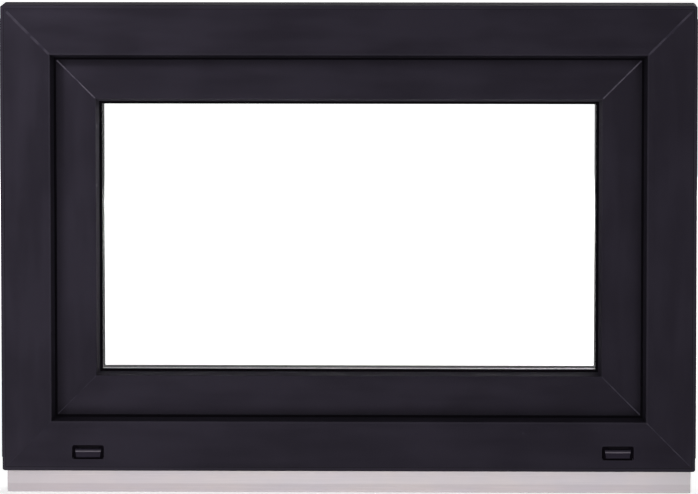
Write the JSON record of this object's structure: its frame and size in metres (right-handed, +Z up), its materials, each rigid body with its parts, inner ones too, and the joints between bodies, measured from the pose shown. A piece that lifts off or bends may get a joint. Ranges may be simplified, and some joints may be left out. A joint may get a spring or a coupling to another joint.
{
  "type": "basement window",
  "caption": "Dark plastic basement window with a recessed sash, insulating glass, drain caps and a pale base profile below.",
  "frame": {"origin": "middle of the underside of the base profile: half way along it, and at the middle of the 70 mm depth of the outer frame", "axes": "+X to the right seen from outside, +Y into the room, +Z up"},
  "size_m": [0.9, 0.1401, 0.635],
  "materials": {
    "foil": "dark anthracite foil with a fine grain on uPVC",
    "gasket": "black, matt",
    "glass": "clear float glass with a faint green edge",
    "spacer": "satin, bright",
    "sealant": "dark sealant",
    "base_plastic": "pale grey white plastic with faint draw lines",
    "cap_plastic": "dark moulded plastic, smooth",
    "handle_metal": "dark powder coat",
    "hinge_metal": "dark powder coat, as the handle",
    "pin_metal": "bright zinc plated",
    "block_plastic": "grey glazing blocks, hidden in the sash"
  },
  "bodies": {
    "root": {"frame_head": "foil", "frame_bottom": "foil", "frame_jamb_left": "foil", "frame_jamb_right": "foil", "sash_top_rail": "foil", "sash_bottom_rail": "foil", "sash_stile_left": "foil", "sash_stile_right": "foil", "glazing_bead_top": "foil", "glazing_bead_bottom": "foil", "glazing_bead_left": "foil", "glazing_bead_right": "foil", "frame_gasket": "gasket", "sash_gasket": "gasket", "outer_glazing_gasket": "gasket", "inner_glazing_gasket": "gasket", "outer_pane": "glass", "inner_pane": "glass", "spacer_bar": "spacer", "edge_seal": "sealant", "base_profile": "base_plastic", "drain_cap_left": "cap_plastic", "drain_cap_right": "cap_plastic", "handle_rosette": "handle_metal", "handle_neck": "handle_metal", "handle_lever": "handle_metal", "hinge_lower_frame_leaf": "hinge_metal", "hinge_lower_sash_leaf": "hinge_metal", "hinge_upper_frame_leaf": "hinge_metal", "hinge_upper_sash_leaf": "hinge_metal", "hinge_lower_pin": "pin_metal", "hinge_upper_pin": "pin_metal", "setting_blocks": "block_plastic"}
  },
  "joints": []
}
